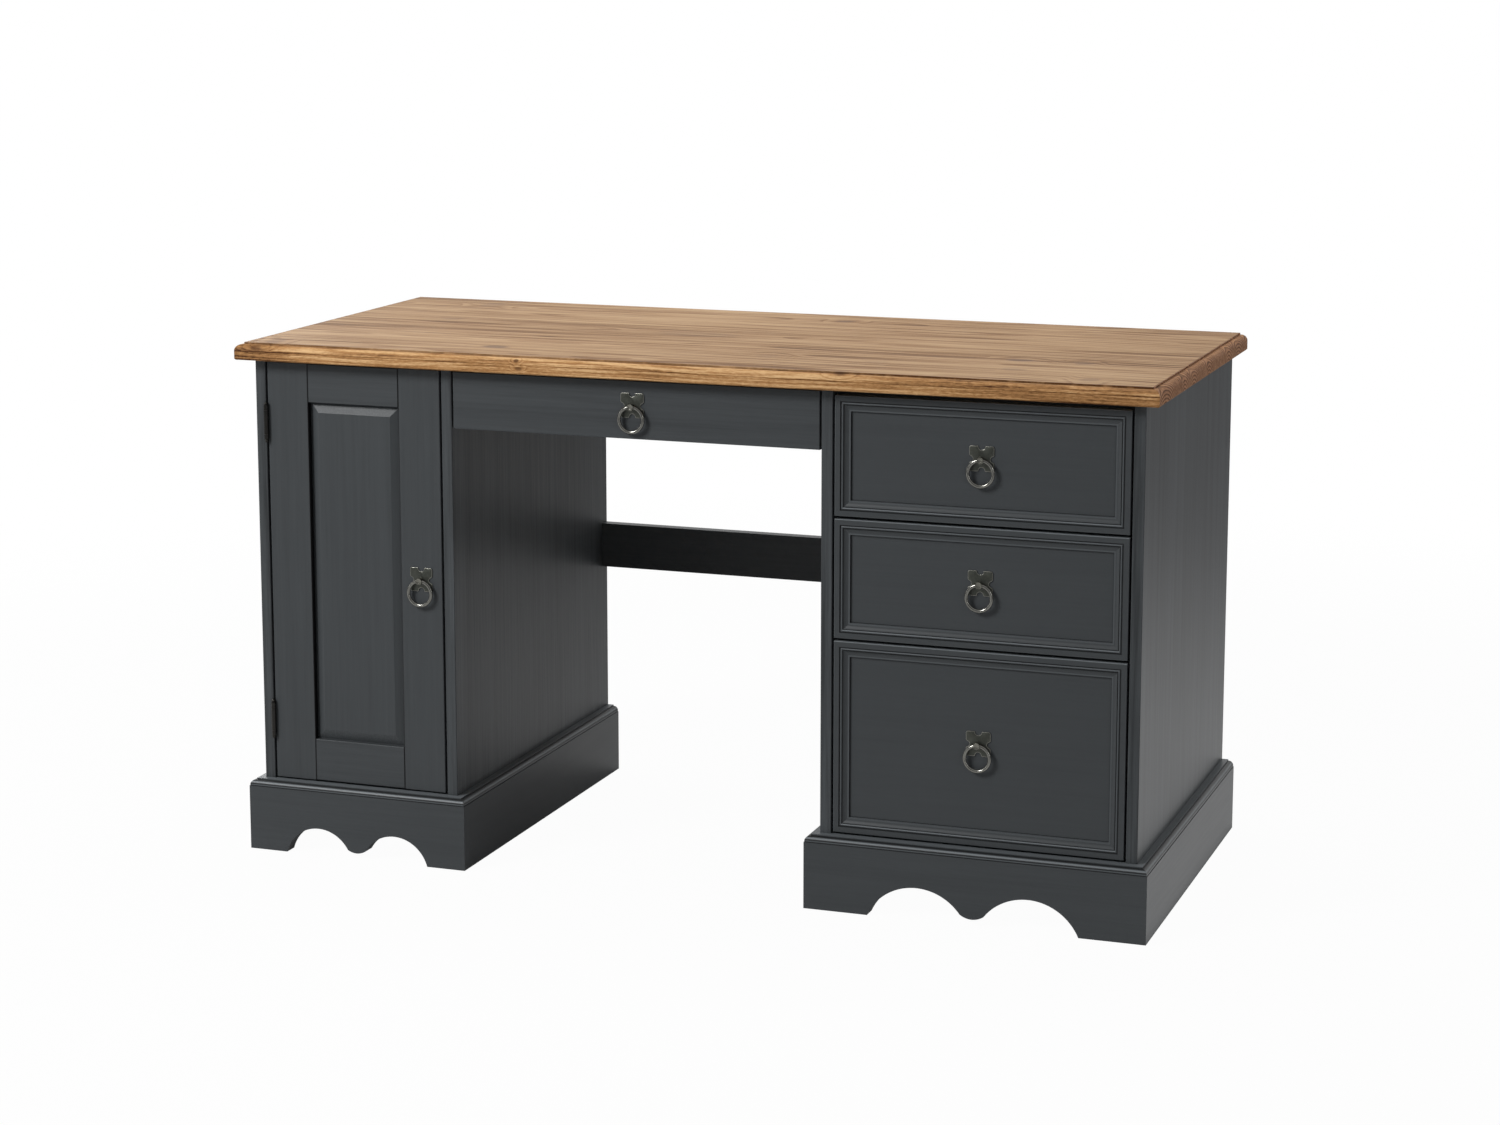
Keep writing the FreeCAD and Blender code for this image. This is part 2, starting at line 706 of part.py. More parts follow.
def catch_and_strike():
    left, right, bottom, top = door_edges()
    wall = left_inner - board
    z = top - catch_from_top
    start_y = front_back + strike_thickness + catch_gap
    save("door_catch", [box((wall - catch_width, start_y, z - catch_height / 2),
                            (wall, start_y + catch_depth, z + catch_height / 2))])
    save("door_strike", [box((wall - catch_width - strike_margin, front_back, z - catch_height / 2 + strike_margin),
                             (right - strike_play + strike_margin, front_back + strike_thickness,
                              z + catch_height / 2 - strike_margin))])


def build():
    assembly_screws()
    desk_top()
    drilled_side("left_cabinet_outer_side", left_outer, left_outer + board, -along_x)
    drilled_side("left_cabinet_inner_side", left_inner - board, left_inner - board, along_x)
    side_panel("right_cabinet_inner_side", right_inner)
    side_panel("right_cabinet_outer_side", right_outer - board)
    cabinet_core("left_cabinet", left_outer, left_inner)
    cabinet_core("right_cabinet", right_inner, right_outer)
    shelf()
    left_rail, left_blocks = plinth("left", left_outer, left_inner, left_arch)
    right_rail, right_blocks = plinth("right", right_inner, right_outer, right_arch)
    save("plinth_back_rails", [left_rail, right_rail])
    save("plinth_blocks", left_blocks + right_blocks)
    stretcher()
    door()
    handle("door", *door_handle_place(), front_face)
    hinge_set()
    catch_and_strike()
    centre_drawer()
    pedestal_drawers()
    print(len(made), "nodes")


build()
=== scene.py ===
import math

import bmesh
import bpy
from mathutils import Matrix, Vector


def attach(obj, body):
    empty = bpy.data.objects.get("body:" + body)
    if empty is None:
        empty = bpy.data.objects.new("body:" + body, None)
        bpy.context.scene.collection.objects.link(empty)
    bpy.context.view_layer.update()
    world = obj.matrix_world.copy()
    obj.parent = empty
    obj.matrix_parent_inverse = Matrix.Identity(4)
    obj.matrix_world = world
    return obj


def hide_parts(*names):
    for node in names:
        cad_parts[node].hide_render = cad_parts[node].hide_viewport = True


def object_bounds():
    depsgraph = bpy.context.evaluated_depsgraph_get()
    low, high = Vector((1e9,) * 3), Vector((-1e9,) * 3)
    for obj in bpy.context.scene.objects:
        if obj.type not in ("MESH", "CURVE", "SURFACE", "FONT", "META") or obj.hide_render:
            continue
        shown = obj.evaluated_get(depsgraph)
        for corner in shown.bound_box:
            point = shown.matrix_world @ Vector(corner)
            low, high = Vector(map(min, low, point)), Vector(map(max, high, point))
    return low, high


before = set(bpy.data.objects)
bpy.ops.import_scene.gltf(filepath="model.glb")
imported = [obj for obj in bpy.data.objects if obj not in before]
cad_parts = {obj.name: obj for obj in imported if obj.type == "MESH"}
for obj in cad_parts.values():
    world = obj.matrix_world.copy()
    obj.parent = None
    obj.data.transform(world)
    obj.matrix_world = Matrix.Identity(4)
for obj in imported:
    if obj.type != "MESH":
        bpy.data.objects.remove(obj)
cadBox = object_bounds()
print("frame loaded:", len(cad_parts), "nodes")

scene = bpy.context.scene
scene.view_settings.view_transform = "Standard"
halfLength, halfDepth, topHeight = cadBox[1]
alongX, alongY, alongZ = range(3)


def tone(*channels):
    # a colour as it is seen on screen, 0 to 255, turned into the linear one that shaders want
    return tuple(((v / 255 + 0.055) / 1.055) ** 2.4 for v in channels) + (1.0,)


def shaded(colour, share):
    return tuple(v * share for v in colour[:3]) + (1.0,)


class Wire:
    # one output socket; sums on it become Math nodes
    def __init__(self, graph, socket):
        self.graph, self.socket = graph, socket

    def maths(self, operation, *others):
        sockets = dict(enumerate((self,) + others))
        return self.graph.node("ShaderNodeMath", {"operation": operation}, sockets)

    def __add__(self, other):
        return self.maths("ADD", other)

    __radd__ = __add__

    def __mul__(self, other):
        return self.maths("MULTIPLY", other)

    __rmul__ = __mul__

    def __sub__(self, other):
        return self.maths("SUBTRACT", other)

    def __rsub__(self, other):
        return self.maths("MULTIPLY", -1.0).maths("ADD", other)

    def __truediv__(self, other):
        return self.maths("DIVIDE", other)

    def __abs__(self):
        return self.maths("ABSOLUTE")

    def least(self, other):
        return self.maths("MINIMUM", other)

    def most(self, other):
        return self.maths("MAXIMUM", other)

    def floor(self):
        return self.maths("FLOOR")

    def part(self):
        return self.maths("FRACT")

    def root(self):
        return self.maths("SQRT")

    def rise(self, low, high):
        # smooth step from 0 at low to 1 at high
        return self.graph.node("ShaderNodeMapRange", {"interpolation_type": "SMOOTHSTEP"},
                               {"Value": self, "From Min": low, "From Max": high})


def weighed(shares, parts):
    # the parts added up, each times the share under its name
    first, *others = [parts[key] * share for key, share in shares.items()]
    return sum(others, first)


class Graph:
    # node tree of a material or of the world
    def __init__(self, tree):
        self.tree = tree

    def link(self, value, socket):
        if isinstance(value, Wire):
            self.tree.links.new(value.socket, socket)
        else:
            socket.default_value = value

    def node(self, kind, settings, sockets, output=0):
        made = self.tree.nodes.new(kind)
        for key, value in settings.items():
            setattr(made, key, value)
        for key, value in sockets.items():
            self.link(value, made.inputs[key])
        return Wire(self, made.outputs[output])

    def noise(self, vector, detail, roughness=0.5, distortion=0.0, scale=1.0):
        return self.node("ShaderNodeTexNoise", {},
                         {"Vector": vector, "Scale": scale, "Detail": detail,
                          "Roughness": roughness, "Distortion": distortion})

    def vector(self, x, y, z):
        return self.node("ShaderNodeCombineXYZ", {}, {0: x, 1: y, 2: z})

    def axes(self, vector):
        split = self.node("ShaderNodeSeparateXYZ", {}, {0: vector}).socket.node
        return [Wire(self, socket) for socket in split.outputs]

    def blend(self, factor, first, second):
        # a Mix node has its two colours at inputs 6 and 7, and the mixed one at output 2
        return self.node("ShaderNodeMix", {"data_type": "RGBA"},
                         {0: factor, 6: first, 7: second}, 2)

    def ramp(self, value, stops):
        made = self.node("ShaderNodeValToRGB", {}, {"Fac": value})
        elements = made.socket.node.color_ramp.elements
        while len(elements) < len(stops):
            elements.new(0.5)
        for element, (where, colour) in zip(elements, stops):
            element.position, element.color = where, colour
        return made

    def seen(self, camera, gloss):
        # the first share where a ray comes from the camera, the second one by way of gloss or glass
        rays = self.tree.nodes.new("ShaderNodeLightPath").outputs
        direct, glossy, glassy = [Wire(self, rays[name]) for name in
                                  ("Is Camera Ray", "Is Glossy Ray", "Is Transmission Ray")]
        return (direct * camera).most(glossy.most(glassy) * gloss)


class Finish(Graph):
    # a Principled material; its textures read the object's own coordinates
    def __init__(self, name, **constants):
        self.material = bpy.data.materials.new(name)
        self.material.use_nodes = True
        super().__init__(self.material.node_tree)
        self.shader = self.tree.nodes["Principled BSDF"]
        self.feed(**constants)
        self.place = self.node("ShaderNodeTexCoord", {}, {}, "Object")
        self.facing = self.node("ShaderNodeTexCoord", {}, {}, "Normal")

    def grain(self, scale, detail, roughness, distortion=0.0, shift=(0, 0, 0), axis=alongX):
        # noise drawn out along an axis; scale is that of a board along X
        turned = list(scale)
        turned[alongX], turned[axis] = turned[axis], turned[alongX]
        place = self.node("ShaderNodeMapping", {},
                          {"Vector": self.place, "Location": shift, "Scale": turned})
        return self.noise(place, detail, roughness, distortion)

    def feed(self, **inputs):
        for key, value in inputs.items():
            self.link(value, self.shader.inputs[key.replace("_", " ")])

    def relief(self, height, distance, strength):
        self.feed(Normal=self.node("ShaderNodeBump", {}, {"Height": height, "Distance": distance,
                                                          "Strength": strength}))


# charcoal paint over pine: the grain telegraphs through, more on the sides than on the fronts.
# railEnds are the X places where the door's rails meet its stiles, fronts the lower and upper edges
# of the three drawer fronts, and frontEnds their ends in X; a line of a moulding is given by its
# distance in from the edge and by its reach, in metres. The seam tone draws the open joints as
# grime and painted shade, and the quirks of the mouldings as painted shade; the arrises get painted
# highlights, stronger where they face up
paint = {
    "colour": tone(60, 63, 65), "darker": 0.34, "lighter": 0.30, "stops": (0.36, 0.50, 0.64),
    "refraction": 1.45, "specular": 0.28, "roughness": 0.37, "roughnessSpread": 0.1,
    "fibre": {"scale": (7.0, 300.0, 300.0), "detail": 4.0, "roughness": 0.6},
    "streak": {"scale": (1.1, 42.0, 42.0), "detail": 5.0, "roughness": 0.72, "distortion": 0.3,
               "shift": (3.1, 1.7, 5.3)},
    "cloud": {"scale": 4.0, "detail": 2.0},
    "shares": {"fibre": 0.35, "streak": 0.5, "cloud": 0.15},
    "reliefShares": {"fibre": 0.5, "streak": 0.5},
    "reliefDepth": 0.0007, "reliefDeepest": 0.0005, "reliefStrength": 0.7,
    # the seam tone darkens the open joints, as grime and painted shade, and the quirks, as painted
    # shade
    "seam": tone(14, 14, 15), "seamEdges": (0.0006, 0.0015), "railEnds": (-0.574, -0.430),
    "cutFacing": (0.2, 0.5), "poreRelief": 2.5, "poreEdges": (0.45, 0.7), "poreLight": 2.2,
    "pores": {"scale": (160.0, 700.0, 700.0), "detail": 3.0, "roughness": 0.7},
    "fronts": ((0.109, 0.381), (0.385, 0.552), (0.556, 0.723)), "frontEnds": (0.227, 0.639),
    "capTop": 0.106,
    # painted shade in the quirks of the mouldings
    "quirkShades": {"front": ((0.0087, 0.0007), (0.0128, 0.0007), (0.0222, 0.0006)),
               "cap": ((0.0024, 0.0006), (0.0070, 0.0008), (0.0101, 0.0006))},
    # painted highlights on the arrises, lighter where the arris faces up
    "arrisHighlights": {"front": ((0.0004, 0.0006), (0.0112, 0.0011), (0.0208, 0.0011)),
                "cap": ((0.0004, 0.0005), (0.0047, 0.0009), (0.0087, 0.0007))},
    "lineEdges": (0.4, 1.6), "quirkShadeShare": 0.85, "highlightStrength": 3.3, "highlightFacing": (-0.1, 0.6),
    "highlightLeast": 0.2,
}


def mouldingDepth(moulding, x, z):
    # how far in from the edges of a drawer front, or down from the top of a plinth's cap
    if moulding == "cap":
        return paint["capTop"] - z
    inside = -1.0
    for low, high in paint["fronts"]:
        inside = (z - low).least(high - z).most(inside)
    low, high = paint["frontEnds"]
    return (x - low).least(high - x).least(inside)


def paintFinish(name, axis, streaks, seams=(), endGrain=0.0, moulding=None):
    # axis is the one that the grain runs along, and streaks how strongly it shows; seams are the X
    # places of open joints, drawn dark as grime and painted shade; endGrain roughens the bevels
    # that cut across the grain, and moulding paints shade into the quirks and highlights onto the
    # arrises of a drawer front or of a plinth's cap
    finish = Finish(name, IOR=paint["refraction"], Specular_IOR_Level=paint["specular"])
    x, y, z = finish.axes(finish.place)
    facing = finish.axes(finish.facing)
    parts = {"fibre": finish.grain(axis=axis, **paint["fibre"]),
             "streak": finish.grain(axis=axis, **paint["streak"]),
             "cloud": finish.noise(finish.place, **paint["cloud"])}
    tones = (shaded(paint["colour"], 1 - paint["darker"] * streaks), paint["colour"],
             shaded(paint["colour"], 1 + paint["lighter"] * streaks))
    colour = finish.ramp(weighed(paint["shares"], parts), list(zip(paint["stops"], tones)))
    # grime and painted shade along the open joints
    for seam in seams:
        colour = finish.blend(abs(x - seam).rise(*paint["seamEdges"]), paint["seam"], colour)
    if moulding:
        inside = mouldingDepth(moulding, x, z)
        up = facing[alongZ].rise(*paint["highlightFacing"])
        highlightShare = paint["highlightLeast"] + (1.0 - paint["highlightLeast"]) * up
        near, far = paint["lineEdges"]
        # painted shade in the quirks, then painted highlights on the arrises, stronger where they
        # face up
        for lines, share, lineColour in (
                (paint["quirkShades"], paint["quirkShadeShare"], paint["seam"]),
                (paint["arrisHighlights"], highlightShare, shaded(paint["colour"], paint["highlightStrength"]))):
            for middle, reach in lines[moulding]:
                line = 1.0 - abs(inside - middle).rise(reach * near, reach * far)
                colour = finish.blend(line * share, colour, lineColour)
    height = weighed(paint["reliefShares"], parts)
    if endGrain:
        cut = abs(facing[axis]).rise(*paint["cutFacing"])
        pores = finish.grain(axis=axis, **paint["pores"])
        height = height + pores * cut * paint["poreRelief"]
        colour = finish.blend(cut * pores.rise(*paint["poreEdges"]) * endGrain, colour,
                              shaded(paint["colour"], paint["poreLight"]))
    finish.feed(Base_Color=colour,
                Roughness=paint["roughness"] + paint["roughnessSpread"] * parts["fibre"])
    finish.relief(height, min(paint["reliefDepth"] * streaks, paint["reliefDeepest"]),
                  paint["reliefStrength"])
    return finish.material


# stained pine of the top: staves along X, knots, a brushed front edge and end grain on the ends;
# heights count from the top's face, a knot has its middle, half sizes and strength, and a dark
# patch of the front edge its middle, half length and strength
pine = {
    "refraction": 1.45, "specular": 0.09, "roughness": 0.50, "roughnessSpread": 0.2,
    "stave": 0.098, "firstStave": -0.31, "seeds": (0.0, 37.0),
    "pithSpread": 0.05, "pithDepth": 0.035, "pithDepthSpread": 0.05,
    "swellAlong": 1.5, "swellAcross": 3.0, "swellPerStave": 7.0, "swellReach": 0.05,
    "swell": {"detail": 3.0, "roughness": 0.5},
    "ring": 0.0052, "lateStart": (0.3, 0.92), "lateEnd": (0.92, 1.0),
    "fibre": {"scale": (5.0, 260.0, 260.0), "detail": 5.0, "roughness": 0.75},
    "streak": {"scale": (2.0, 90.0, 90.0), "detail": 3.0, "roughness": 0.6, "distortion": 0.2,
               "shift": (1.0, 4.0, 2.0)},
    "broad": {"scale": (2.6, 38.0, 38.0), "detail": 3.0, "roughness": 0.6, "distortion": 0.4,
              "shift": (4.0, 2.0, 7.0)},
    "cloud": {"scale": (1.6, 9.0, 9.0), "detail": 3.0, "roughness": 0.55,
              "shift": (9.0, 2.0, 0.0)},
    "hair": {"scale": (5.0, 300.0, 300.0), "detail": 2.0, "roughness": 0.6,
             "shift": (3.0, 7.0, 5.0)},
    "hairEdges": (0.58, 0.72),
    "wobble": {"scale": (30.0, 70.0, 70.0), "detail": 3.0, "roughness": 0.6,
               "shift": (2.0, 0.0, 6.0)},
    "faceShares": {"late": 0.18, "fibre": 1.2, "streak": 0.85, "broad": 0.65, "cloud": 0.35,
                   "luck": 0.08, "hair": 0.30},
    "faceOffset": -0.62,
    "faceStops": ((0.24, tone(183, 153, 119)), (0.47, tone(161, 129, 96)),
                  (0.66, tone(126, 94, 65)), (0.95, tone(74, 50, 34))),

    "knotWobble": 1.6, "knotEdges": (0.3, 1.1), "pullEdges": (0.0, 7.0), "pullReach": 0.007,
    "knotTone": tone(104, 84, 72), "knotShare": 0.35, "knotFibreShare": 0.5,
    "knotFibreEdges": (0.3, 0.6), "edgeKnotShare": 0.8,
    "knots": (((-0.306, -0.213, 0.0), (0.025, 0.014, 0.01), 1.0),
              ((-0.083, 0.015, 0.0), (0.075, 0.030, 0.01), 0.35),
              ((-0.514, 0.241, 0.0), (0.022, 0.030, 0.01), 0.45),
              ((-0.500, 0.061, 0.0), (0.024, 0.012, 0.01), 0.45),
              ((0.078, 0.231, 0.0), (0.018, 0.012, 0.01), 0.9),
              ((0.439, -0.095, 0.0), (0.026, 0.014, 0.01), 1.0),
              ((0.530, -0.099, 0.0), (0.015, 0.016, 0.01), 0.6),
              ((0.453, -0.185, 0.0), (0.020, 0.014, 0.01), 0.4),
              ((0.574, -0.250, 0.0), (0.016, 0.022, 0.01), 0.5),
              ((0.092, -0.173, 0.0), (0.020, 0.018, 0.01), 0.25),
              ((0.257, -0.182, 0.0), (0.020, 0.014, 0.01), 0.25),
              ((-0.632, -0.264, 0.0), (0.016, 0.018, 0.01), 0.6),
              ((0.238, -0.292, -0.002), (0.012, 0.009, 0.005), 1.0),
              ((-0.236, -0.299, -0.006), (0.005, 0.005, 0.003), 1.0),
              ((-0.232, -0.300, -0.017), (0.006, 0.010, 0.003), 0.7),
              ((-0.645, -0.295, -0.007), (0.012, 0.010, 0.004), 0.8)),

    "ledge": 0.011, "bandEdges": (-0.001, 0.001), "roundEnd": -0.0116,
    "roundEndEdges": (0.0002, 0.0012),
    "brushed": {"scale": (110.0, 500.0, 500.0), "detail": 3.0, "roughness": 0.7,
                "distortion": 0.4, "shift": (5.0, 1.0, 0.0)},
    "vein": {"scale": (4.5, 260.0, 260.0), "detail": 4.0, "roughness": 0.75, "distortion": 0.3,
             "shift": (8.0, 3.0, 0.0)},
    "patchEdges": (0.2, 1.0),
    "darkPatches": ((0.52, 0.34, 0.13), (-0.68, 0.14, 0.26), (-0.45, 0.14, 0.06),
                    (-0.28, 0.10, 0.08)),
    # of the edge's shares, the one where the round ends is a line of painted shade
    "edgeShares": {"brushed": 0.6, "brushedPatch": 1.2, "vein": 1.6, "cloud": 0.5,
                   "patch": 0.45, "under": 0.25, "late": 0.16},
    "edgeOffset": -0.76, "edgeDark": tone(72, 42, 22),
    "edgeStops": ((0.20, tone(210, 171, 124)), (0.48, tone(166, 122, 77)),
                  (0.88, tone(72, 42, 22))),

    # painted shade in the step's corner: how ragged it is, its place, width and strength, and its
    # share on the left
    "ragged": {"scale": (34.0, 90.0, 0.0), "detail": 3.0, "roughness": 0.6},
    "raggedEdges": (0.30, 0.55), "stepShadePlace": -0.0004, "stepShadeEdges": (0.0004, 0.0018),
    "stepShadeShare": 0.85, "strongerFrom": (0.18, 0.34), "closed": 0.6,

    "speck": {"scale": (260.0, 420.0, 420.0), "detail": 3.0, "roughness": 0.7},
    "endShares": {"late": 0.36, "speck": 0.66, "streak": 0.34}, "endOffset": -0.19,
    "endStops": ((0.14, tone(206, 158, 120)), (0.40, tone(158, 112, 80)),
                 (0.72, tone(74, 46, 32))),
    "mitreEdges": (0.0, 0.002), "endRim": 0.75, "endFacing": (0.35, 0.75),
    "reliefShares": {"fibre": 0.3, "streak": 0.3, "late": -0.15, "brushedBand": 0.8,
                     "knots": -0.3, "hair": -0.3},
    "reliefDepth": 0.0006, "reliefStrength": 0.7,
}


def pineFinish():
    finish = Finish("stainedPine", IOR=pine["refraction"], Specular_IOR_Level=pine["specular"])
    x, y, z = finish.axes(finish.place)
    z = z - topHeight
    across = abs(finish.axes(finish.facing)[alongX])
    parts = {key: finish.grain(**pine[key]) for key in
             ("fibre", "streak", "broad", "cloud", "hair", "wobble", "brushed", "vein", "ragged",
              "speck")}
    for key in ("broad", "cloud", "wobble"):
        parts[key] = parts[key] - 0.5  # noise runs from 0 to 1, and these sway about 0
    parts["hair"] = parts["hair"].rise(*pine["hairEdges"])

    knots, pull = 0.0, 0.0
    for middle, reaches, strength in pine["knots"]:
        sides = [(place - centre) / reach
                 for place, centre, reach in zip((x, y, z), middle, reaches)]
        away = (sides[0] * sides[0] + sides[1] * sides[1] + sides[2] * sides[2]
                + parts["wobble"] * pine["knotWobble"])
        knots = ((1.0 - away.rise(*pine["knotEdges"])) * strength).most(knots)
        pull = (1.0 - away.rise(*pine["pullEdges"])) + pull

    # growth rings round a pith of each stave's own, bent by the knots
    stave = ((y - pine["firstStave"]) / pine["stave"]).floor()
    luck, fall = [finish.node("ShaderNodeTexWhiteNoise", {"noise_dimensions": "1D"},
                              {"W": stave + seed}) for seed in pine["seeds"]]
    parts["luck"] = luck - 0.5
    pithY = (y - (stave + 0.5) * pine["stave"] - pine["firstStave"]
             + parts["luck"] * pine["pithSpread"])
    pithZ = z + pine["pithDepth"] + fall * pine["pithDepthSpread"]
    swell = finish.noise(finish.vector(x * pine["swellAlong"] + stave * pine["swellPerStave"],
                                       y * pine["swellAcross"], z * pine["swellAcross"]),
                         **pine["swell"]) - 0.5
    fromPith = ((pithY * pithY + pithZ * pithZ).root()
                + swell * pine["swellReach"] * (1.0 - across) + pull * pine["pullReach"])
    ring = (fromPith / pine["ring"]).part()
    parts["late"] = ring.rise(*pine["lateStart"]) * (1.0 - ring.rise(*pine["lateEnd"]))

    colour = finish.ramp(weighed(pine["faceShares"], parts) + pine["faceOffset"],
                         pine["faceStops"])
    knotFibre = parts["fibre"].rise(*pine["knotFibreEdges"])
    colour = finish.blend(knots * (pine["knotShare"] + pine["knotFibreShare"] * knotFibre),
                          colour, pine["knotTone"])

    # past the step of the upper edge: the front's brushed wood, darker in patches and knots, with a
    # line of painted shade where the round ends
    past = (abs(x) - halfLength).most(-1.0 * y - halfDepth) + pine["ledge"]
    band = past.rise(*pine["bandEdges"])
    patch = 0.0
    for middle, spread, depth in pine["darkPatches"]:
        patch = (1.0 - (abs(x - middle) / spread).rise(*pine["patchEdges"])) * depth + patch
    parts.update(patch=patch, brushedPatch=parts["brushed"] * patch,
                 under=1.0 - abs(z - pine["roundEnd"]).rise(*pine["roundEndEdges"]))
    edgeColour = finish.ramp(weighed(pine["edgeShares"], parts) + pine["edgeOffset"],
                             pine["edgeStops"])
    edgeColour = finish.blend(knots * pine["edgeKnotShare"], edgeColour, pine["edgeDark"])
    colour = finish.blend(band, colour, edgeColour)

    # painted shade: the dark line in the step's corner, broken up and stronger towards the right
    stepShade = 1.0 - abs(past - pine["stepShadePlace"]).rise(*pine["stepShadeEdges"])
    stepShade = stepShade * parts["ragged"].rise(*pine["raggedEdges"])
    stepShade = stepShade * (x.rise(*pine["strongerFrom"]) * (1.0 - pine["closed"]) + pine["closed"])
    colour = finish.blend(stepShade * pine["stepShadeShare"], colour, pine["edgeDark"])

    endColour = finish.ramp(weighed(pine["endShares"], parts) + pine["endOffset"],
                            pine["endStops"])
    beyond = (abs(x) - halfLength) - (abs(y) - halfDepth)
    ends = beyond.rise(*pine["mitreEdges"]) * band * pine["endRim"]
    ends = ends.most(across.rise(*pine["endFacing"]))
    finish.feed(Base_Color=finish.blend(ends, colour, endColour),
                Roughness=pine["roughness"] + pine["roughnessSpread"] * parts["fibre"])
    parts.update(knots=knots, brushedBand=parts["brushed"] * band)
    finish.relief(weighed(pine["reliefShares"], parts), pine["reliefDepth"],
                  pine["reliefStrength"])
    return finish.material


# unpainted pine inside the drawers and behind the plinths
bare = {
    "roughness": 0.6, "stops": (0.32, 0.7), "reliefDepth": 0.0003, "reliefStrength": 0.5,
    "rings": {"scale": (1.2, 55.0, 55.0), "detail": 4.0, "roughness": 0.6, "distortion": 0.4},
    "fibre": {"scale": (12.0, 700.0, 700.0), "detail": 3.0, "roughness": 0.6},
    "shares": {"rings": 0.65, "fibre": 0.35}, "reliefShares": {"rings": 0.5, "fibre": 0.5},
}


def barePineFinish(name, axis, pale, brown):
    finish = Finish(name, Roughness=bare["roughness"])
    parts = {key: finish.grain(axis=axis, **bare[key]) for key in ("rings", "fibre")}
    finish.feed(Base_Color=finish.ramp(weighed(bare["shares"], parts),
                                       list(zip(bare["stops"], (pale, brown)))))
    finish.relief(weighed(bare["reliefShares"], parts), bare["reliefDepth"],
                  bare["reliefStrength"])
    return finish.material


# metals of the handles, hinges and small fittings
iron = {
    "cast": {"scale": 420.0, "detail": 4.0, "roughness": 0.6},
    "stain": {"scale": 110.0, "detail": 3.0, "roughness": 0.5},
    "shares": {"stain": 0.6, "cast": 0.4}, "stops": (0.32, 0.5, 0.7), "roughnessSpread": 0.14,
    "reliefDepth": 0.0002, "reliefStrength": 0.6,
}


def ironFinish(name, colour, roughness, mottle, metallic=0.95):
    finish = Finish(name, Metallic=metallic)
    parts = {key: finish.noise(finish.place, **iron[key]) for key in ("cast", "stain")}
    tones = (shaded(colour, 1 - mottle), colour, shaded(colour, 1 + mottle))
    finish.feed(Base_Color=finish.ramp(weighed(iron["shares"], parts),
                                       list(zip(iron["stops"], tones))),
                Roughness=roughness + iron["roughnessSpread"] * parts["stain"])
    finish.relief(parts["cast"], iron["reliefDepth"] * mottle, iron["reliefStrength"])
    return finish.material


# moulded plastic of the door's catch
plastic = {
    "roughness": 0.5, "grain": {"scale": 900.0, "detail": 2.0},
    "stops": ((0.2, tone(34, 34, 35)), (0.8, tone(44, 44, 45))),
    "reliefDepth": 0.0001, "reliefStrength": 0.4,
}


def plasticFinish(name):
    finish = Finish(name, Roughness=plastic["roughness"])
    grain = finish.noise(finish.place, **plastic["grain"])
    finish.feed(Base_Color=finish.ramp(grain, plastic["stops"]))
    finish.relief(grain, plastic["reliefDepth"], plastic["reliefStrength"])
    return finish.material


# paint and bare pine take the axis of the grain, and paint the strength of its streaks; iron takes
# its colour, roughness and mottle, and how metallic it is
finishes = {
    "sideBoard": paintFinish("paintedSideBoard", alongZ, 1.7),
    "uprightBoard": paintFinish("paintedUprightBoard", alongZ, 0.35, seams=paint["railEnds"]),
    "panelBoard": paintFinish("paintedPanelBoard", alongZ, 0.35, endGrain=0.5),
    "drawerBoard": paintFinish("paintedDrawerBoard", alongX, 0.16, moulding="front"),
    "plinthFront": paintFinish("paintedPlinthFront", alongX, 0.3, moulding="cap"),
    "plinthSide": paintFinish("paintedPlinthSide", alongY, 0.3, moulding="cap"),
    "railBoard": paintFinish("paintedRailBoard", alongX, 0.5),
    "doorRail": paintFinish("paintedDoorRail", alongX, 0.5, seams=paint["railEnds"]),
    "top": pineFinish(),
    "bareDeep": barePineFinish("barePineDeep", alongY, tone(216, 184, 138), tone(184, 142, 92)),
    "bareAcross": barePineFinish("barePineAcross", alongX, tone(216, 184, 138),
                                 tone(184, 142, 92)),
    "bareUp": barePineFinish("barePineUpright", alongZ, tone(208, 176, 130), tone(176, 134, 86)),
    "bottom": barePineFinish("drawerBottomBoard", alongX, tone(196, 160, 116),
                             tone(170, 128, 84)),
    "plate": ironFinish("oldIronPlate", tone(68, 70, 64), 0.30, 0.25, 0.7),
    # bevels of the plates: rubbed iron and a painted highlight in one lighter finish
    "arrisWearAndHighlight": ironFinish("rubbedAndHighlitIronArris", tone(148, 147, 139), 0.24, 0.10, 0.9),
    "ring": ironFinish("wornIronRing", tone(122, 121, 116), 0.12, 0.12),
    "stud": ironFinish("wornIronStud", tone(116, 115, 107), 0.18, 0.15, 0.9),
    "black": ironFinish("blackenedSteel", tone(52, 51, 49), 0.24, 0.15),
    "zinc": ironFinish("zincSteel", tone(170, 170, 166), 0.3, 0.08),
    "catch": plasticFinish("catchPlastic"),
}
print("finishes made:", len(finishes))

